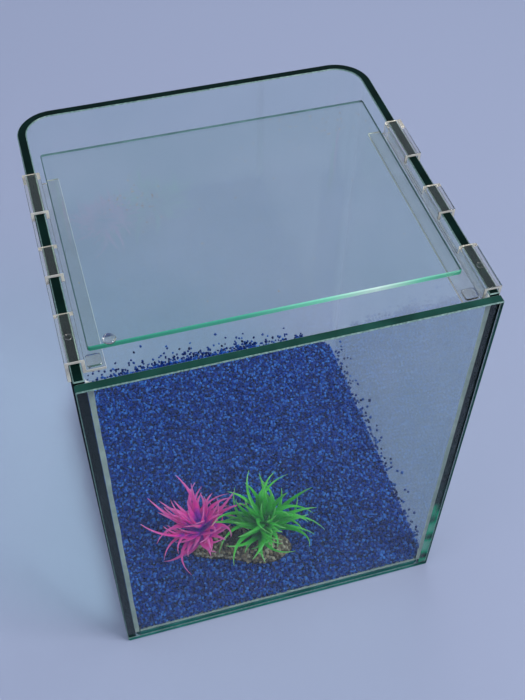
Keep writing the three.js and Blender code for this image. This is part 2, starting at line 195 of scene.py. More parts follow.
def surface(material, shader):
    """Ends a material's tree with an output that shows this shader; returns the material."""
    output = material.node_tree.nodes.new("ShaderNodeOutputMaterial")
    material.node_tree.links.new(shader, output.inputs["Surface"])
    return material


def principled(material, **inputs):
    """Gives a material one Principled shader, set by its inputs; returns the material."""
    shader = node(material.node_tree, "ShaderNodeBsdfPrincipled", **inputs)
    return surface(material, shader.outputs["BSDF"])


def maths(tree, operation, *values):
    """One arithmetic step on two or three values."""
    sockets = {f"_{index}": value for index, value in enumerate(values)}
    return node(tree, "ShaderNodeMath", {"operation": operation}, **sockets).outputs["Value"]


def attribute(tree, name):
    """The number that add_piece stored at each point under this name."""
    return node(tree, "ShaderNodeAttribute", {"attribute_name": name}).outputs["Fac"]


def ramp(tree, factor, stops):
    """A colour ramp through (position, hex colour) stops."""
    made = node(tree, "ShaderNodeValToRGB", _0=factor)
    elements = made.color_ramp.elements
    for position, _ in stops[2:]:
        elements.new(position)
    for element, (position, colour) in zip(elements, stops):
        element.position = position
        element.color = linear(colour)
    return made.outputs["Color"]


def place(tree):
    """The point's own position in metres."""
    return node(tree, "ShaderNodeTexCoord").outputs["Object"]


def noise(tree, size_mm, detail=3, stretch=(1, 1, 1)):
    """Fractal noise whose blotches are about size_mm across, stretched along the axes."""
    spread = node(tree, "ShaderNodeMapping", Vector=place(tree), Scale=stretch)
    return node(tree, "ShaderNodeTexNoise", Vector=spread.outputs["Vector"],
                Scale=1 / (size_mm * MM), Detail=detail).outputs["Fac"]


def bump(tree, height, depth_mm, strength=1.0):
    """A surface relief of about depth_mm."""
    return node(tree, "ShaderNodeBump", Height=height, Distance=depth_mm * MM,
                Strength=strength).outputs["Normal"]


def clear_body(name, tints, ior, lamp_tint, drift_mm):
    """A polished clear solid: a Principled shader that transmits, its tint drifting between
    two near whites over drift_mm; lamps shine through it as through a plain tinted sheet."""
    material, tree = new_material(name)
    shader = node(tree, "ShaderNodeBsdfPrincipled",
                  Base_Color=ramp(tree, noise(tree, drift_mm), tints), Roughness=0.0,
                  IOR=ior, Transmission_Weight=1.0)
    lamps = node(tree, "ShaderNodeBsdfTransparent", Color=linear(lamp_tint))
    path = node(tree, "ShaderNodeLightPath")
    mixed = node(tree, "ShaderNodeMixShader", _0=path.outputs["Is Shadow Ray"],
                 _1=shader.outputs["BSDF"], _2=lamps.outputs["BSDF"])
    return surface(material, mixed.outputs["Shader"])


def float_glass():
    """Soda-lime float glass, 5 mm, polished: nearly colourless through its faces."""
    return clear_body("float_glass", [(0.3, "#eef6f5"), (0.7, "#e6f1f0")], GLASS_IOR,
                      "#e9f3f1", 60)


def clear_acrylic():
    """Clear injection-moulded acrylic: glossy, very slightly warm."""
    return clear_body("clear_acrylic", [(0.3, "#fbf9f4"), (0.7, "#f3f0e8")], ACRYLIC_IOR,
                      "#f3efe6", 9)


def acrylic_painted_highlight():
    """Acrylic faces given a matt, warm white finish as a painted highlight: the near white base
    colour stands in for the light on the hooks' ends and the ledge's inner side."""
    material, tree = new_material("acrylic_painted_highlight")
    grit = noise(tree, 0.8)
    colour = ramp(tree, grit, [(0.3, "#efe9db"), (0.7, "#fffdf6")])
    return principled(material, Base_Color=colour, Roughness=0.35, IOR=ACRYLIC_IOR,
                      Transmission_Weight=0.3, Normal=bump(tree, grit, 0.02))


def cut_glass_edge(name, deep, bright, gloss=0.15):
    """The cut and polished edge of float glass: the long way through the pane makes it deep
    green, with streaks along the cut."""
    material, tree = new_material(name)
    streaks = noise(tree, 14, 4, (1, 1, 0.35))
    colour = ramp(tree, streaks, [(0.3, deep), (0.75, bright)])
    return principled(material, Base_Color=colour, Roughness=0.12, IOR=GLASS_IOR,
                      Specular_IOR_Level=gloss, Normal=bump(tree, noise(tree, 1.5), 0.01))


def lid_edge_painted_highlight():
    """The lid's front edge: teal at the left and pale mint where it is brightest, right of the
    middle. This colour ramp is a painted highlight for light that runs inside the thin pane."""
    material, tree = new_material("lid_edge_painted_highlight")
    across = node(tree, "ShaderNodeSeparateXYZ", Vector=place(tree)).outputs["X"]
    share = node(tree, "ShaderNodeMapRange", Value=across, From_Min=float(LID_LOW[0]),
                 From_Max=float(LID_HIGH[0])).outputs["Result"]
    # Painted highlight: the base colour brightens to pale mint right of the middle.
    colour = ramp(tree, share, [(0.0, "#37997f"), (0.4, "#4fb798"), (0.62, "#8fefc9"),
                                (0.76, "#e2fff2"), (0.88, "#7ddcb8"), (1.0, "#3fa287")])
    return principled(material, Base_Color=colour, Roughness=0.15, IOR=GLASS_IOR,
                      Specular_IOR_Level=0.3)


def dark_edge_painted_glow():
    """The ends of the bent sheet and the wet bond over them: almost black green, and low on
    the right arm facets a painted emerald glow, for light trapped in the glass."""
    material, tree = new_material("dark_edge_painted_glow")
    spot = node(tree, "ShaderNodeSeparateXYZ", Vector=place(tree))
    # Painted glow mask: low down on the right arm, broken up by noise.
    low = node(tree, "ShaderNodeMapRange", Value=spot.outputs["Z"], From_Min=150 * MM,
               From_Max=10 * MM).outputs["Result"]
    right = maths(tree, "GREATER_THAN", spot.outputs["X"], 0.0)
    share = maths(tree, "MULTIPLY", low, right)
    glow = maths(tree, "MULTIPLY", share, noise(tree, 9, 0, (1, 1, 0.8)))
    colour = ramp(tree, glow, [(0.0, "#01120f"), (0.27, "#06302a"), (0.32, "#0f8262"),
                               (0.44, "#33f0b0"), (0.6, "#a6ffe0")])
    return principled(material, Base_Color=colour, Roughness=0.12, IOR=GLASS_IOR,
                      Specular_IOR_Level=0.05)


def ground_arris():
    """The arris ground along each edge of the glass: matt from grinding, pale grey green."""
    material, tree = new_material("ground_arris")
    grit = noise(tree, 1.2)
    colour = ramp(tree, grit, [(0.3, "#456a64"), (0.7, "#8fb0a9")])
    return principled(material, Base_Color=colour, Roughness=0.42, IOR=GLASS_IOR,
                      Normal=bump(tree, grit, 0.03))


def cured_silicone():
    """Clear aquarium silicone: milky grey, soft gloss, light finger ripples from tooling."""
    material, tree = new_material("cured_silicone")
    ripple = noise(tree, 7, 2)
    colour = ramp(tree, ripple, [(0.3, "#c4cbc3"), (0.7, "#e6e9e0")])
    return principled(material, Base_Color=colour, Roughness=0.38, IOR=1.41,
                      Transmission_Weight=0.2, Normal=bump(tree, ripple, 0.15))


def coated_gravel(name, deep, main, pale):
    """Quartz gravel with a blue resin coat: each grain has its own shade, and the coat has a
    satin gloss."""
    material, tree = new_material(name)
    speckle = noise(tree, 0.9, 2)
    mixed = maths(tree, "MULTIPLY_ADD", speckle, 0.35, attribute(tree, "tone"))
    colour = ramp(tree, mixed, [(0.15, deep), (0.65, main), (1.0, pale)])
    return principled(material, Base_Color=colour, Roughness=0.4, IOR=1.5,
                      Specular_IOR_Level=0.25, Normal=bump(tree, speckle, 0.1))


def gravel_core_painted_shade():
    """The gravel below the top grains: cells a little wider than a grain, darker than the top
    grains and near black in the gaps between cells, as painted shade.
    """
    material, tree = new_material("gravel_core_painted_shade")
    from_middle = node(tree, "ShaderNodeTexVoronoi", Vector=place(tree),
                       Scale=1 / CORE_CELL).outputs["Distance"]
    # Painted shade: dark blue in the cells, near black in the gaps.
    colour = ramp(tree, from_middle, [(0.1, "#102f80"), (0.75, "#030828")])
    return principled(material, Base_Color=colour, Roughness=0.5, IOR=1.5,
                      Normal=bump(tree, from_middle, 0.9, 0.8))


def cast_pebbles():
    """Painted cast resin pebbles: grey, tan and brown, each its own shade, matt."""
    material, tree = new_material("cast_pebbles")
    grime = noise(tree, 1.6, 4)
    mixed = maths(tree, "MULTIPLY_ADD", grime, 0.4, attribute(tree, "tone"))
    colour = ramp(tree, mixed, [(0.2, "#2b231c"), (0.5, "#63513f"), (0.75, "#937c60"),
                                (1.0, "#c2b49c")])
    return principled(material, Base_Color=colour, Roughness=0.78, IOR=1.48,
                      Normal=bump(tree, grime, 0.3))


def soft_plastic(name, stops):
    """Soft moulded polyethylene leaf: colour runs from root to tip, a faint blotchy relief,
    satin, with a little light passing into it."""
    material, tree = new_material(name)
    mottle = noise(tree, 4, 3)
    mixed = maths(tree, "MULTIPLY_ADD", mottle, 0.3, attribute(tree, "reach"))
    colour = ramp(tree, maths(tree, "SUBTRACT", mixed, 0.15), stops)
    return principled(material, Base_Color=colour, Roughness=0.4, IOR=1.51,
                      Subsurface_Weight=0.15, Subsurface_Scale=1.5 * MM,
                      Normal=bump(tree, mottle, 0.12))


def dried_spot():
    """Dried water and dust on the lid: thin beige chalk."""
    material, tree = new_material("dried_spot")
    colour = ramp(tree, noise(tree, 1.0), [(0.3, "#6f695d"), (0.7, "#a8a294")])
    return principled(material, Base_Color=colour, Roughness=0.8, IOR=1.45)


GLASS_FACE = float_glass()
ACRYLIC = clear_acrylic()
HIGHLIGHT_ACRYLIC = acrylic_painted_highlight()
ARRIS_FINISH = ground_arris()
RIM_EDGE = cut_glass_edge("rim_edge", "#01120f", "#06241f", 0.05)
FRONT_EDGE = cut_glass_edge("front_edge", "#0f362f", "#1f5146")
BASE_EDGE = cut_glass_edge("base_edge", "#1b5a5c", "#3b8a86")
LID_EDGE = lid_edge_painted_highlight()
END_EDGE = dark_edge_painted_glow()
LID_SIDE_EDGE = cut_glass_edge("lid_side_edge", "#4a6f72", "#6d9092")
SILICONE = cured_silicone()
GRAVEL = coated_gravel("coated_gravel", "#030b44", "#1040a8", "#4684e0")
# A darker copy of the gravel for the grains that cling to the walls: painted shade.
WALL_GRAVEL_SHADED = coated_gravel("wall_gravel_shaded", "#02082e", "#0b2c78", "#2c5cb0")
GRAVEL_CORE = gravel_core_painted_shade()
PEBBLES = cast_pebbles()
PINK_LEAF = soft_plastic("pink_leaf", [(0.0, "#5a22b0"), (0.24, "#a82cc4"), (0.42, "#ff34b2"),
                                       (1.0, "#ff80c8")])
GREEN_LEAF = soft_plastic("green_leaf", [(0.0, "#0f6a1c"), (0.3, "#28a52c"), (0.7, "#50cc40"),
                                         (1.0, "#92dc7a")])
SPOT = dried_spot()


# --- glass -----------------------------------------------------------------------------------
def bent_outline(inset):
    """The U of the bent sheet seen from above, counter-clockwise: outer face, then the end of
    an arm, then the inner face back, drawn in by inset all round."""
    bend_x, bend_y = BODY_HIGH[0] - BEND_RADIUS, BODY_HIGH[1] - BEND_RADIUS
    end_y = BODY_LOW[1] + inset
    outer, inner = BEND_RADIUS - inset, INNER_RADIUS + inset
    return np.vstack([
        [(BODY_HIGH[0] - inset, end_y)],
        arc((bend_x, bend_y), outer, 0, 90, 24),
        arc((-bend_x, bend_y), outer, 90, 180, 24),
        [(BODY_LOW[0] + inset, end_y)],
        [(-INNER_X - inset, end_y)],
        arc((-bend_x, bend_y), inner, 180, 90, 24),
        arc((bend_x, bend_y), inner, 90, 0, 24),
        [(INNER_X + inset, end_y)],
    ])


def make_bent_body():
    """The bent sheet stands on its cut edge: its outline at each height, from foot to rim."""
    points, faces, kinds = plate(bent_outline, BODY_HIGH[2] - BODY_LOW[2], ARRIS)
    # The plate lies on its side here: its flat faces are the sheet's cut edges.
    slot_of_kind = {0: 1, 1: 0, 2: 2}
    slots = [slot_of_kind[kind] for kind in kinds]
    count = len(bent_outline(0))
    for arm_end in (count // 2 - 1, count - 1):
        slots[count + arm_end] = 3
    piece = add_piece("bent_glass", points + [0, 0, BODY_LOW[2]], faces, "tank",
                      [GLASS_FACE, RIM_EDGE, ARRIS_FINISH, END_EDGE], slots)
    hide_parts("bent_glass_body")


def make_pane(name, node_name, low, high, outline_at, axis, edges, edge_side, body,
              plain_arris=True):
    """A flat pane between two corners: its outline across the pane, its thickness along axis.
    edges are the finish of the edge that faces edge_side in the outline, and of the rest.
    Without a plain arris the bevels look like the edge beside them."""
    points, faces, kinds = plate(outline_at, high[axis] - low[axis], ARRIS)
    outline = outline_at(0)
    along = np.roll(outline, -1, axis=0) - outline
    facing = along[:, 1] * edge_side[0] - along[:, 0] * edge_side[1]
    count = len(outline)
    slots = np.array(kinds)
    edge_slots = np.where(facing > 0.7 * np.linalg.norm(along, axis=1), 1, 3)
    slots[count:2 * count] = edge_slots
    if not plain_arris:
        slots[:count] = edge_slots
        slots[2 * count:3 * count] = edge_slots
    if axis == 1:
        points = np.column_stack([points[:, 0], high[1] - points[:, 2], points[:, 1]])
    else:
        points = points + [0, 0, low[2]]
    piece = add_piece(name, points, faces, body,
                      [GLASS_FACE, edges[0], ARRIS_FINISH, edges[1]], slots)
    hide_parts(node_name)


def make_panes():
    """The front pane, the base let in between the walls, and the loose lid."""
    def front(inset):
        return rounded_outline(PANE_HIGH[0] - inset, PANE_LOW[2] + inset, PANE_HIGH[2] - inset,
                               0.8 * MM, 0.8 * MM, 3)

    def base(inset):
        return rounded_outline(BASE_HIGH[0] - inset, BASE_LOW[1] + inset, BASE_HIGH[1] - inset,
                               INNER_RADIUS - 0.7 * MM - inset, 2 * MM - inset)

    def lid(inset):
        return rounded_outline(LID_HIGH[0] - inset, LID_LOW[1] + inset, LID_HIGH[1] - inset,
                               1.5 * MM - inset, 1.5 * MM - inset, 5)

    make_pane("front_glass", "front_pane", PANE_LOW, PANE_HIGH, front, 1,
              (FRONT_EDGE, BASE_EDGE), (0, 1), "tank")
    make_pane("base_glass", "base_pane", BASE_LOW, BASE_HIGH, base, 2,
              (BASE_EDGE, BASE_EDGE), (0, -1), "tank")
    make_pane("lid_pane", "lid_glass", LID_LOW, LID_HIGH, lid, 2,
              (LID_EDGE, LID_SIDE_EDGE), (0, -1), "lid", plain_arris=False)


# --- silicone --------------------------------------------------------------------------------
def bead_section():
    """A tooled fillet in a corner: two legs and a hollow face."""
    face = arc((BEAD_LEG, BEAD_LEG), BEAD_LEG, -90, -180, 8)
    return np.vstack([[(0, 0)], face])


def swept_bead(name, node_names, corner, across, up):
    """The fillet carried along a line of corner points: across and up are the two directions
    of its legs at each point, and its size breathes by a few per cent along the way. The
    section runs backwards where the legs turn the other way, so its faces look outwards."""
    section = bead_section()
    if np.dot(np.cross(across[0], up[0]), corner[1] - corner[0]) < 0:
        section = section[::-1]
    travel = np.cumsum(np.linalg.norm(np.diff(corner, axis=0, prepend=corner[:1]), axis=1))
    swell = 1 + 0.05 * np.sin(travel / (9 * MM)) + 0.03 * np.sin(travel / (3.7 * MM))
    legs = section[None] * swell[:, None, None]
    points = (corner[:, None] + legs[:, :, :1] * across[:, None] + legs[:, :, 1:] * up[:, None])
    faces = capped_tube_faces(len(corner), len(section))
    piece = add_piece(name, points, faces, "tank", [SILICONE], sharp=50)
    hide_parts(*node_names)


def bond_strip(name, low, high, finish):
    """Silicone squeezed thin between a cut edge and the front pane, as a flat strip. Clear
    silicone wets both, so the strip has the finish of the edge behind it."""
    outline = [(low[0], low[1]), (high[0], low[1]), (high[0], high[1]), (low[0], high[1])]
    points = [(x, y, z) for z in (low[2], high[2]) for x, y in outline]
    strip = add_piece(name, points, capped_tube_faces(2, 4), "tank", [finish])


def make_silicone():
    """Two upright fillets at the front pane, one along the front of the base, and one round
    its other three sides, with the bond strips behind the pane."""
    near_y = INNER_FRONT_Y + FIT_GAP
    side_x = INNER_X - FIT_GAP
    foot_z = BASE_HIGH[2] + FIT_GAP
    stations = 90
    heights = np.linspace(foot_z, BODY_HIGH[2] - ARRIS, stations)
    for side, name in ((-1, "left"), (1, "right")):
        corner = np.column_stack([np.full(stations, side * side_x), np.full(stations, near_y),
                                  heights])
        across = np.tile([-side, 0, 0], (stations, 1))
        up = np.tile([0, 1, 0], (stations, 1))
        swept_bead("front_fillet_" + name, ["front_seam_" + name], corner, across, up)
        ends = sorted((side * (side_x + FIT_GAP), side * (BODY_HIGH[0] - ARRIS)))
        # On the right, the strip also takes the end edge's painted emerald glow low down.
        bond_strip("front_bond_" + name, (ends[0], near_y, ARRIS),
                   (ends[1], near_y + BOND, BODY_HIGH[2] - ARRIS), END_EDGE)
    end_x = side_x - BASE_GAP
    bond_strip("base_bond_front", (-end_x, near_y, ARRIS),
               (end_x, near_y + BOND, BASE_HIGH[2] - ARRIS), BASE_EDGE)
    stations = 80
    along = np.linspace(-end_x, end_x, stations)
    corner = np.column_stack([along, np.full(stations, near_y), np.full(stations, foot_z)])
    swept_bead("base_fillet_front", ["base_seam_front"], corner,
               np.tile([0, 1, 0], (stations, 1)), np.tile([0, 0, 1], (stations, 1)))
    outline = rounded_outline(side_x, near_y, INNER_BACK_Y - FIT_GAP, INNER_RADIUS - FIT_GAP,
                              3.4 * MM)
    path = outline[CORNER_STEPS:-CORNER_STEPS - 1]
    inward = np.gradient(path, axis=0)
    inward = np.column_stack([-inward[:, 1], inward[:, 0], np.zeros(len(path))])
    inward /= np.linalg.norm(inward, axis=1)[:, None]
    corner = np.column_stack([path, np.full(len(path), foot_z)])
    swept_bead("base_fillet_rear", ["base_seam_rear"], corner, inward,
               np.tile([0, 0, 1], (len(path), 1)))


# --- lid rails -------------------------------------------------------------------------------
HOOKS = [(0, 30), (55, 75.5), (100.5, 130.5)]
SECTION = 14
RAIL_WALL = 1.7 * MM
LEDGE = 10.7 * MM
NOTCH_DROP = 3.2 * MM
FLANGE_DROP = 11 * MM


def rail_points(side, front_y):
    """The rail's section at the ends of each hook. The section runs under the ledge, up the
    web beside the wall, over the rim, down and up the outer flange, back over the top and
    down to the ledge: points 0 to 2 and 11 to 13 are ledge and web, 5 to 8 the flange."""
    web = INNER_X - FIT_GAP
    flange = BODY_HIGH[0] + FIT_GAP
    outer = flange + RAIL_WALL
    rim = BODY_HIGH[2]
    ledge_top = LID_LOW[2] - FIT_GAP
    foot = rim - FLANGE_DROP
    notch = rim - NOTCH_DROP
    under = rim + FIT_GAP
    top = under + RAIL_WALL
    section = np.array([
        (web - LEDGE, ledge_top - RAIL_WALL), (web, ledge_top - RAIL_WALL), (web, notch),
        (web, under), (flange, under), (flange, notch), (flange, foot), (outer, foot),
        (outer, notch), (outer, top), (web - RAIL_WALL, top), (web - RAIL_WALL, notch),
        (web - RAIL_WALL, ledge_top), (web - LEDGE, ledge_top),
    ])
    stations = np.array(HOOKS).ravel() * MM + front_y
    rows = [np.column_stack([side * section[:, 0], np.full(SECTION, y), section[:, 1]])
            for y in stations]
    return np.vstack(rows)


def rail_faces(side):
    """Full section over each hook; between hooks only the web with its ledge and the flange,
    each closed on top, and the bridge's end faces where a hook stops. Returns the faces, and
    for each 1 where it takes the painted highlight: the hooks' ends and the ledge's inner side."""
    whole = list(range(SECTION))
    web = [0, 1, 2, 11, 12, 13]
    flange = [5, 6, 7, 8]
    bridge = [2, 3, 4, 5, 8, 9, 10, 11]
    faces = []
    painted_highlight_flags = []
    last = 2 * len(HOOKS) - 1
    for interval in range(last):
        near, far = SECTION * interval, SECTION * (interval + 1)
        for loop in ([whole] if interval % 2 == 0 else [web, flange]):
            for a, b in zip(loop, loop[1:] + loop[:1]):
                faces.append([near + a, near + b, far + b, far + a])
                # The ledge's inner side takes the painted highlight material.
                painted_highlight_flags.append(int((a, b) == (13, 0)))
    faces.append(whole[::-1])
    faces.append([SECTION * last + i for i in whole])
    for station in range(1, last):
        loop = [SECTION * station + i for i in bridge]
        faces.append(loop if station % 2 == 1 else loop[::-1])
    painted_highlight_flags += [1] * (len(faces) - len(painted_highlight_flags))
    return (faces if side < 0 else [face[::-1] for face in faces]), painted_highlight_flags


def flat_ring(centre, radius, thickness, height, steps=24):
    """Points and faces of a flat ring: a four-sided section carried round a circle."""
    turn = full_turn(steps)
    section = [(radius, 0), (radius + thickness, 0), (radius + thickness, height),
               (radius, height)]
    rows = [np.stack([centre[0] + r * np.cos(turn), centre[1] + r * np.sin(turn),
                      np.full(steps, centre[2] + h)], 1) for r, h in section]
    last = 3 * steps
    closing = [[last + i, last + (i + 1) % steps, (i + 1) % steps, i] for i in range(steps)]
    return np.vstack(rows), np.vstack([grid_faces(4, steps), closing])


def make_rail(side, name, node_name, body):
    """One rail with eased edges, its raised lid stop and the round pin mark on its front
    hook."""
    front_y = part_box(node_name)[0][1]
    faces, painted_highlight_flags = rail_faces(side)
    piece = add_piece(name, rail_points(side, front_y), faces, body, [ACRYLIC, HIGHLIGHT_ACRYLIC], painted_highlight_flags)
    soften(piece, 0.3 * MM)
    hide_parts(node_name)
    ledge_top = LID_LOW[2] - FIT_GAP
    stop_x = side * (INNER_X - FIT_GAP - LEDGE + 4.8 * MM)

    def stop_outline(inset):
        outline = rounded_outline(3.5 * MM - inset, -3.5 * MM + inset, 3.5 * MM - inset,
                                  1.2 * MM - inset / 2, 1.2 * MM - inset / 2, 5)
        return outline + [stop_x, front_y + 4.5 * MM]

    points, faces, _ = plate(stop_outline, 1.2 * MM, 0.3 * MM)
    stop = add_piece(name + "_stop", points + [0, 0, ledge_top + 0.02 * MM], faces, body,
                     [ACRYLIC])
    top = BODY_HIGH[2] + FIT_GAP + RAIL_WALL
    mark_x = side * (INNER_X + GLASS / 2)
    points, faces = flat_ring((mark_x, front_y + 15 * MM, top + 0.01 * MM), 1.5 * MM,
                              0.35 * MM, 0.15 * MM)
    mark = add_piece(name + "_pin_mark", points, faces, body, [ACRYLIC])


def soften(piece, width):
    """Rounds every hard edge of a piece."""
    rounding = piece.modifiers.new("eased_edges", "BEVEL")
    rounding.width = width
    rounding.segments = 3
    rounding.limit_method = "ANGLE"
    rounding.angle_limit = math.radians(40)
    rounding.harden_normals = True


def make_bumper():
    """The clear dot on the lid: a short wall under a quarter-ellipse dome, turned about its
    upright axis."""
    centre = (BUMPER_LOW + BUMPER_HIGH) / 2
    radius = (BUMPER_HIGH[0] - BUMPER_LOW[0]) / 2
    height = BUMPER_HIGH[2] - BUMPER_LOW[2]
    wall = height / 3
    bend = np.linspace(0, np.pi / 2, 9)[:-1]
    profile_r = np.concatenate([[radius * 0.94, radius], radius * np.cos(bend)[1:]])
    profile_z = np.concatenate([[0, 0.15 * MM], wall + (height - wall) * np.sin(bend)[1:]])
    steps = 32
    turn = full_turn(steps)
    points = np.stack([
        centre[0] + profile_r[:, None] * np.cos(turn),
        centre[1] + profile_r[:, None] * np.sin(turn),
        np.broadcast_to(BUMPER_LOW[2] + profile_z[:, None], (len(profile_r), steps)),
    ], axis=-1)
    piece = add_piece("clear_dot", points, capped_tube_faces(len(profile_r), steps), "lid",
                      [ACRYLIC], sharp=60)
    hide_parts("lid_bumper")


# --- gravel ----------------------------------------------------------------------------------
ORNAMENT_MIDDLE = np.array([-18, -62]) * MM
ORNAMENT_LEVEL = 17 * MM


def gravel_height(x, y):
    """The bed's top in metres: a bell-shaped bank towards the back, a slow ripple, and a level
    patch under the ornament that blends out over half its own length."""
    x_mm, y_mm = x / MM, y / MM
    bank = 7 * np.exp(-((x_mm + 10) / 75) ** 2 - ((y_mm - 95) / 80) ** 2)
    ripple = 0.8 * np.sin(x_mm / 17 + 1) * np.cos(y_mm / 21)
    middle = ORNAMENT_MIDDLE / MM
    distance = np.hypot((x_mm - middle[0]) / 50, (y_mm - middle[1]) / 30)
    blend = np.clip(distance - 1, 0, 1)
    return (17 + (2 + bank + ripple) * blend) * MM


def bed_outline(inset, spacing):
    """The inside of the walls drawn in by inset, as points an even spacing apart."""
    outline = rounded_outline(INNER_X - inset, INNER_FRONT_Y + inset, INNER_BACK_Y - inset,
                              INNER_RADIUS - inset, 4 * MM)
    closed = np.vstack([outline, outline[:1]])
    step = np.linalg.norm(np.diff(closed, axis=0), axis=1)
    travel = np.concatenate([[0], np.cumsum(step)])
    wanted = np.arange(0, travel[-1], spacing)
    return np.column_stack([np.interp(wanted, travel, closed[:, i]) for i in (0, 1)])


def inside_bed(x, y, inset):
    """True where a point lies within the rounded outline drawn in by inset."""
    half_x = INNER_X - inset
    radius = INNER_RADIUS - inset
    rear_y = INNER_BACK_Y - INNER_RADIUS
    corner = np.hypot(np.maximum(np.abs(x) - (INNER_X - INNER_RADIUS), 0),
                      np.maximum(y - rear_y, 0))
    return (np.abs(x) < half_x) & (y > INNER_FRONT_Y + inset) & (corner < radius)


def grain_shape():
    """The twelve corners and twenty faces of an icosahedron of unit radius."""
    golden = (1 + math.sqrt(5)) / 2
    corners = []
    for a in (-1, 1):
        for b in (-golden, golden):
            corners += [(0, a, b), (a, b, 0), (b, 0, a)]
    corners = np.array(corners) / math.hypot(1, golden)
    edge = 2 / math.hypot(1, golden)
    faces = []
    for i in range(12):
        for j in range(i + 1, 12):
            for k in range(j + 1, 12):
                sides = [corners[i] - corners[j], corners[j] - corners[k],
                         corners[k] - corners[i]]
                if max(np.linalg.norm(side) for side in sides) < edge * 1.01:
                    outward = np.dot(np.cross(sides[0], sides[1]), corners[i]) > 0
                    faces.append([i, j, k] if outward else [i, k, j])
    return corners, np.array(faces)


def random_turns(generator, count):
    """Evenly spread random rotation matrices, from unit quaternions."""
    q = generator.normal(size=(count, 4))
    q /= np.linalg.norm(q, axis=1)[:, None]
    w, x, y, z = q.T
    return np.stack([
        np.stack([1 - 2 * (y * y + z * z), 2 * (x * y - z * w), 2 * (x * z + y * w)], 1),
        np.stack([2 * (x * y + z * w), 1 - 2 * (x * x + z * z), 2 * (y * z - x * w)], 1),
        np.stack([2 * (x * z - y * w), 2 * (y * z + x * w), 1 - 2 * (x * x + y * y)], 1),
    ], 1)


def scatter(name, centres, diameters, body, material, generator, squashed=0.72, rough=0.16):
    """One small stone at each centre: an icosahedron whose corners are pushed in and out,
    stretched differently along three axes and turned at random. Each stone has one tone."""
    corners, faces = grain_shape()
    count = len(centres)
    stretch = generator.uniform(squashed, 1.15, size=(count, 1, 3))
    push = 1 + generator.uniform(-rough, rough, size=(count, 12, 1))
    local = corners[None] * push * stretch * (diameters / 2)[:, None, None]
    points = np.einsum("nij,nkj->nki", random_turns(generator, count), local)
    points += centres[:, None]
    tone = np.repeat(generator.beta(2.2, 2.6, size=count), 12)
    return add_piece(name, points, repeat_faces(faces, count, 12), body, [material],
                     sharp=38, values={"tone": tone})


def make_gravel():
    """A packed core, one jittered layer of grains over it, grains against the glass all round,
    and a few that cling to the right and back walls above the bed."""
    generator = np.random.default_rng(SEED)
    scales = np.array([1, 0.85, 0.7, 0.55, 0.4, 0.25, 0.12])
    rim = bed_outline(2.2 * MM, 5 * MM)
    count = len(rim)
    loops = [np.column_stack([rim, np.full(count, BED_FLOOR + 0.3 * MM)])]
    for scale in scales:
        spot = rim * scale + ORNAMENT_MIDDLE * (1 - scale)
        height = gravel_height(spot[:, 0], spot[:, 1]) - 1.3 * MM
        loops.append(np.column_stack([spot, height]))
    core = add_piece("gravel_core", np.vstack(loops), capped_tube_faces(len(loops), count),
                     "tank", [GRAVEL_CORE])
    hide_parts("gravel_bed")

    pitch = 1.75 * MM
    rows = np.arange(INNER_FRONT_Y, INNER_BACK_Y, pitch * 0.866)
    columns = np.arange(-INNER_X, INNER_X, pitch)
    x = columns[None] + np.where(np.arange(len(rows)) % 2, pitch / 2, 0)[:, None]
    y = np.broadcast_to(rows[:, None], x.shape)
    x = x + generator.normal(0, 0.38 * MM, x.shape)
    y = y + generator.normal(0, 0.38 * MM, y.shape)
    keep = inside_bed(x, y, 1.3 * MM)
    x, y = x[keep], y[keep]
    z = gravel_height(x, y) - 0.7 * MM + generator.normal(0, 0.5 * MM, x.shape)
    size = generator.uniform(0.8, 1.2, x.shape) * GRAIN
    top = np.column_stack([x, y, z])
    for name, half in (("gravel_top_front", y < 0), ("gravel_top_back", y >= 0)):
        layer = scatter(name, top[half], size[half], "tank", GRAVEL, generator)

    wall = bed_outline(1.3 * MM, pitch)
    levels = np.arange(BED_FLOOR + 1.3 * MM, 27 * MM, 1.6 * MM)
    slide = generator.uniform(0, 1, (len(wall), len(levels), 1))
    onward = np.roll(wall, -1, axis=0) - wall
    x, y = (wall[:, None] + slide * onward[:, None]).reshape(-1, 2).T
    z = np.tile(levels, len(wall)) + generator.normal(0, 0.35 * MM, len(x))
    keep = (z < gravel_height(x, y) - 0.8 * MM) & (z > BED_FLOOR + 1.1 * MM)
    sides = np.column_stack([x, y, z])[keep]
    sides[:, :2] *= 1 - np.abs(generator.normal(0, 0.003, (len(sides), 1)))
    layer = scatter("gravel_against_glass", sides, generator.uniform(0.85, 1.1, len(sides))
                    * GRAIN, "tank", GRAVEL, generator)

    clinging = []
    for count, on_right, climb_mm in ((130, True, 6.5), (260, False, 3.5)):
        along = generator.uniform(-88, 75, count) * MM
        touch = INNER_X - 1.2 * MM
        cx = np.full(count, touch) if on_right else along
        cy = along if on_right else np.full(count, INNER_BACK_Y - 1.2 * MM)
        climb = generator.exponential(climb_mm * MM, count)
        cz = gravel_height(cx, cy) + np.minimum(climb, 28 * MM)
        clinging.append(np.column_stack([cx, cy, cz]))
    loose = np.vstack(clinging)
    layer = scatter("gravel_clinging", loose, generator.uniform(0.8, 1.15, len(loose)) * GRAIN,
                    "tank", WALL_GRAVEL_SHADED, generator)


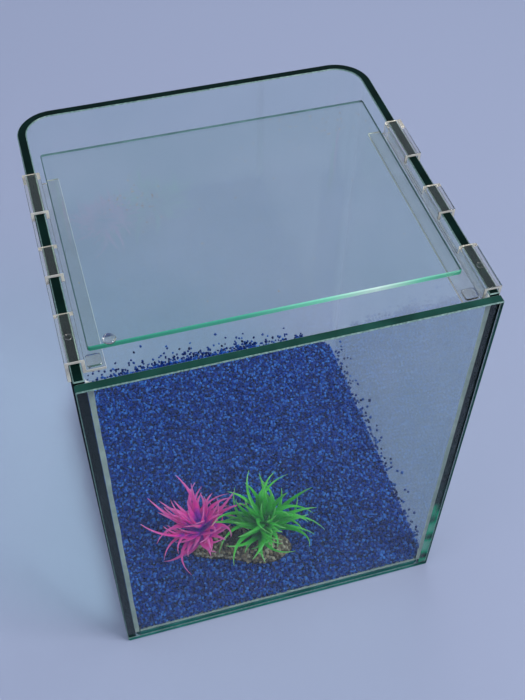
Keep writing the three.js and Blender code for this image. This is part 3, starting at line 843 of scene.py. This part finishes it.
# --- ornament --------------------------------------------------------------------------------
ROCK_LENGTH = 70 * MM
ROCK_DEPTH = 30 * MM
ROCK_HEIGHT = 13 * MM
ROCK_TURN = -0.26
ORNAMENT_PLACE = Matrix.Translation(
    (ORNAMENT_MIDDLE[0], ORNAMENT_MIDDLE[1], ORNAMENT_LEVEL + FIT_GAP)
) @ Matrix.Rotation(ROCK_TURN, 4, "Z")
PLANTS = {
    "pink": {"x": -23, "y": 1, "lean": (-0.22, -0.24), "reach": 37, "shy": 0.3,
             "away": math.pi, "bare": (0.0, 0.0)},
    "green": {"x": 15.5, "y": 4, "lean": (-0.12, 0.1), "reach": 40, "shy": 0.15,
              "away": 0.0, "bare": (-0.65, 0.6)},
}
BLADE_WIDTH = 1.75 * MM
BLADE_ROOT = 1.6 * MM
WHORLS = {
    "lower": {"blades": 26, "elevation": 0.02, "scale": 1.06, "rise": 2.2},
    "middle": {"blades": 24, "elevation": 0.42, "scale": 1.0, "rise": 5.8},
    "upper": {"blades": 20, "elevation": 0.92, "scale": 0.85, "rise": 9.8},
}


def moved(points, matrix):
    """Points carried by a 4 by 4 matrix."""
    table = np.array(matrix)
    return points @ table[:3, :3].T + table[:3, 3]


def hollowed(points):
    """Draws the front of the rock in by up to two fifths left of its middle."""
    hollow = 0.4 * np.exp(-((points[:, 0] / MM + 12) / 20) ** 2)
    front = points[:, 1] < 0
    points[front, 1] *= 1 - hollow[front]
    return points


def make_rock():
    """A squashed half-ball of resin covered in pebbles set on a spiral that spreads evenly
    over it."""
    generator = np.random.default_rng(SEED + 1)
    count = 560
    index = np.arange(count) + 0.5
    height = (index / count) ** 0.9 * 0.98
    angle = index * math.pi * (3 - math.sqrt(5))
    spread = np.sqrt(1 - height ** 2)
    half_length, half_depth = ROCK_LENGTH / 2 - 3 * MM, ROCK_DEPTH / 2 - 2 * MM
    centres = np.column_stack([
        half_length * spread ** 0.6 * np.cos(angle),
        half_depth * spread ** 0.6 * np.sin(angle),
        1.5 * MM + (ROCK_HEIGHT - 3.5 * MM) * height,
    ])
    pebbles = scatter("rock_pebbles", moved(hollowed(centres), ORNAMENT_PLACE),
                      generator.uniform(2.0, 3.9, count) * MM, "ornament", PEBBLES, generator,
                      0.7, 0.1)
    smooth = pebbles.modifiers.new("worn_round", "SUBSURF")
    smooth.levels = 1
    smooth.render_levels = 1
    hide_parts("ornament_rock")

    rings, steps = 10, 40
    turn = full_turn(steps)
    climb = np.linspace(0, 0.94, rings) * np.pi / 2
    lump = 1 + 0.04 * np.sin(5 * turn) + 0.02 * np.cos(9 * turn)
    narrowing = np.cos(climb)[:, None] ** 0.55
    points = np.stack([
        half_length * narrowing * lump * np.cos(turn),
        half_depth * narrowing * lump * np.sin(turn),
        np.broadcast_to((ROCK_HEIGHT - 2 * MM) * np.sin(climb)[:, None], (rings, steps)),
    ], axis=-1).reshape(-1, 3)
    core = add_piece("rock_core", moved(hollowed(points), ORNAMENT_PLACE),
                     capped_tube_faces(rings, steps), "ornament", [PEBBLES], sharp=80,
                     values={"tone": np.full(rings * steps, 0.05)})


def plant_place(plant):
    """Where a plant stands on the rock, with its lean."""
    lean_x, lean_y = plant["lean"]
    lean = Matrix.Rotation(lean_x, 4, "X") @ Matrix.Rotation(lean_y, 4, "Y")
    foot = Matrix.Translation((plant["x"] * MM, plant["y"] * MM, ROCK_HEIGHT + 1.5 * MM))
    return ORNAMENT_PLACE @ foot @ lean


def blade_points(azimuth, elevation, length, curl, drift, width, root, rise):
    """Pointed blades as arrays over blade, station and section. A centre line climbs at an
    angle that changes steadily by curl and swings sideways by drift; a hollow-backed oval
    section is carried along it, narrowing towards the tip."""
    stations, sides = 16, 8
    s = np.linspace(0, 1, stations)
    climb = elevation[:, None] + curl[:, None] * s
    step = length[:, None] / (stations - 1)
    radius = root + np.cumsum(np.cos(climb) * step, axis=1) - np.cos(climb[:, :1]) * step
    height = rise + np.cumsum(np.sin(climb) * step, axis=1) - np.sin(climb[:, :1]) * step
    swing = azimuth[:, None] + drift[:, None] * s ** 1.5
    out = np.stack([np.cos(swing), np.sin(swing), np.zeros_like(swing)], -1)
    side = np.stack([-np.sin(swing), np.cos(swing), np.zeros_like(swing)], -1)
    top = np.stack([-np.sin(climb) * np.cos(swing), -np.sin(climb) * np.sin(swing),
                    np.cos(climb)], -1)
    centre = out * radius[..., None] + np.array([0, 0, 1]) * height[..., None]
    half = width * ((1 - s) ** 0.75 * (0.8 + 0.45 * np.sin(np.pi * s ** 0.7)) + 0.07)
    thick = 0.42 * width * ((1 - s) ** 0.5 + 0.12)
    turn = full_turn(sides)
    across = half[:, None] * np.cos(turn)
    lift = thick[:, None] * np.sin(turn) + 0.3 * half[:, None] * np.cos(turn) ** 2
    points = (centre[:, :, None] + across[None, :, :, None] * side[:, :, None]
              + lift[None, :, :, None] * top[:, :, None])
    reach = np.broadcast_to(s[None, :, None], points.shape[:3])
    return points, reach


def make_whorl(colour, level, material, generator):
    """One ring of blades round the stem. Blades that point at the neighbouring plant or at the
    front pane are shorter, those at the front droop over the rock, and on a plant's bare
    side they are short and steep."""
    plant, whorl = PLANTS[colour], WHORLS[level]
    count = whorl["blades"]
    turn = (np.arange(count) + generator.uniform(-0.22, 0.22, count)) / count * 2 * np.pi
    azimuth = plant["away"] + turn + whorl["rise"] * 0.31
    towards = np.maximum(0, -np.cos(azimuth - plant["away"]))
    forwards = np.maximum(0, -np.sin(azimuth + ROCK_TURN))
    room = (1 - plant["shy"] * towards) * (1 - 0.38 * forwards)
    bare_side, bareness = plant["bare"]
    bare = bareness * np.exp(4 * (np.cos(azimuth - bare_side) - 1))
    room *= 1 - bare
    length = plant["reach"] * MM * whorl["scale"] * room * generator.uniform(0.55, 1.14, count)
    elevation = whorl["elevation"] + bare + generator.uniform(-0.3, 0.34, count)
    curl = generator.uniform(-0.9, 1.1, count) - 0.5 * forwards
    drift = generator.uniform(-1.1, 1.1, count)
    points, reach = blade_points(azimuth, elevation, length, curl, drift, BLADE_WIDTH,
                                 BLADE_ROOT, whorl["rise"] * MM)
    stations, sides = points.shape[1:3]
    body = grid_faces(stations, sides)
    faces = repeat_faces(body, count, stations * sides).tolist()
    for blade in range(count):
        first = blade * stations * sides
        last = first + (stations - 1) * sides
        faces.append([first + i for i in range(sides)][::-1])
        faces.append([last + i for i in range(sides)])
    flat = moved(points.reshape(-1, 3), plant_place(plant))
    piece = add_piece(f"{colour}_leaves_{level}", flat, faces, "ornament", [material],
                      sharp=60, values={"reach": reach})
    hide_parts(f"{colour}_whorl_{level}")


def make_plants():
    """Three whorls of blades on each stem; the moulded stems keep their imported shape."""
    generator = np.random.default_rng(SEED + 2)
    for colour, material in (("pink", PINK_LEAF), ("green", GREEN_LEAF)):
        for level in WHORLS:
            make_whorl(colour, level, material, generator)
        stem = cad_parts[colour + "_plant_stem"]
        for slot in stem.material_slots:
            slot.material = material


# --- marks -----------------------------------------------------------------------------------
def make_lid_spots():
    """Dried water spots in two loose clusters on the lid and a thin scatter: flat flecks up
    to a millimetre across that just touch the glass."""
    generator = np.random.default_rng(SEED + 3)
    # Middle, spread and count of two clusters and of a thin scatter over the lid, in mm.
    clusters = [((-52, 18), (8, 7), 46), ((62, 52), (16, 8), 60), ((0, 0), (60, 45), 40)]
    spots = [np.array(middle) + generator.normal(size=(count, 2)) * spread
             for middle, spread, count in clusters]
    flat = np.vstack(spots) * MM
    margin = 3 * MM
    keep = ((np.abs(flat[:, 0]) < LID_HIGH[0] - margin)
            & (flat[:, 1] > LID_LOW[1] + margin) & (flat[:, 1] < LID_HIGH[1] - margin))
    flat = flat[keep]
    size = generator.uniform(0.5, 1.05, len(flat)) * MM
    corners, faces = grain_shape()
    local = corners[None] * (size / 2)[:, None, None] * [1, 1, 0.12]
    centres = np.column_stack([flat, LID_HIGH[2] + 0.03 * MM + size * 0.06])
    points = local + centres[:, None]
    piece = add_piece("lid_water_spots", points, repeat_faces(faces, len(flat), 12), "lid",
                      [SPOT])


# --- room ------------------------------------------------------------------------------------
def make_stage():
    """A pale floor, a soft sky that is dim below the horizon, three soft lamps, and the
    camera. The floor, the fill and the rim lamp stay out of reflections, which keeps the
    glass clear."""
    material, _ = new_material("pale_floor")
    principled(material, Base_Color=linear("#a6afca"), Roughness=0.75)
    mesh = bpy.data.meshes.new("floor")
    reach, drop = 40, -0.2 * MM
    corners = [(-reach, -reach), (reach, -reach), (reach, reach), (-reach, reach)]
    mesh.from_pydata([(x, y, drop) for x, y in corners], [], [(0, 1, 2, 3)])
    mesh.materials.append(material)
    floor = bpy.data.objects.new("floor", mesh)
    bpy.context.scene.collection.objects.link(floor)
    floor.visible_glossy = False

    world = bpy.data.worlds.new("soft_room")
    world.use_nodes = True
    sky = world.node_tree
    upwards = node(sky, "ShaderNodeSeparateXYZ",
                   Vector=node(sky, "ShaderNodeTexCoord").outputs["Generated"])
    climb = node(sky, "ShaderNodeMapRange", Value=upwards.outputs["Z"], From_Min=-0.3,
                 From_Max=-0.05)
    shade = ramp(sky, climb.outputs["Result"], [(0.0, "#1c222c"), (1.0, "#ccd5e8")])
    background = sky.nodes["Background"]
    sky.links.new(shade, background.inputs["Color"])
    background.inputs["Strength"].default_value = 0.6
    bpy.context.scene.world = world

    def lamp(name, place_at, aim, size, watts, mirrored):
        data = bpy.data.lights.new(name, "AREA")
        data.shape = "SQUARE"
        data.size = size
        data.energy = watts
        made = bpy.data.objects.new(name, data)
        made.location = place_at
        direction = Vector(aim) - Vector(place_at)
        made.rotation_euler = direction.to_track_quat("-Z", "Y").to_euler()
        made.visible_glossy = mirrored
        made.visible_transmission = mirrored
        bpy.context.scene.collection.objects.link(made)

    lamp("key", place_at=(0.9, -0.7, 1.3), aim=(0, 0, 0.1), size=0.7, watts=14, mirrored=True)
    lamp("fill", place_at=(-1.2, -0.4, 1.1), aim=(0, 0, 0.1), size=1.2, watts=4, mirrored=False)
    lamp("rim", place_at=(0.3, 1.3, 1.2), aim=(0, 0, 0.15), size=1.0, watts=5, mirrored=False)

    camera_data = bpy.data.cameras.new("camera")
    camera_data.lens = 51
    camera_data.sensor_width = 36
    camera_data.shift_x = 0.0146
    camera_data.shift_y = 0.07
    camera = bpy.data.objects.new("camera", camera_data)
    camera.location = (-0.102, -0.3712, 0.5826)
    camera.rotation_euler = [math.radians(angle) for angle in (37.89, -0.41, -16.05)]
    bpy.context.scene.collection.objects.link(camera)
    scene = bpy.context.scene
    scene.camera = camera
    scene.view_settings.view_transform = "Standard"
    scene.cycles.use_denoising = True
    scene.cycles.max_bounces = 20
    scene.cycles.transmission_bounces = 16
    scene.cycles.transparent_max_bounces = 24


make_bent_body()
make_panes()
make_silicone()
make_rail(-1, "left_rail_moulding", "left_lid_rail", "left_rail")
make_rail(1, "right_rail_moulding", "right_lid_rail", "right_rail")
make_bumper()
make_gravel()
make_rock()
make_plants()
make_lid_spots()
make_stage()
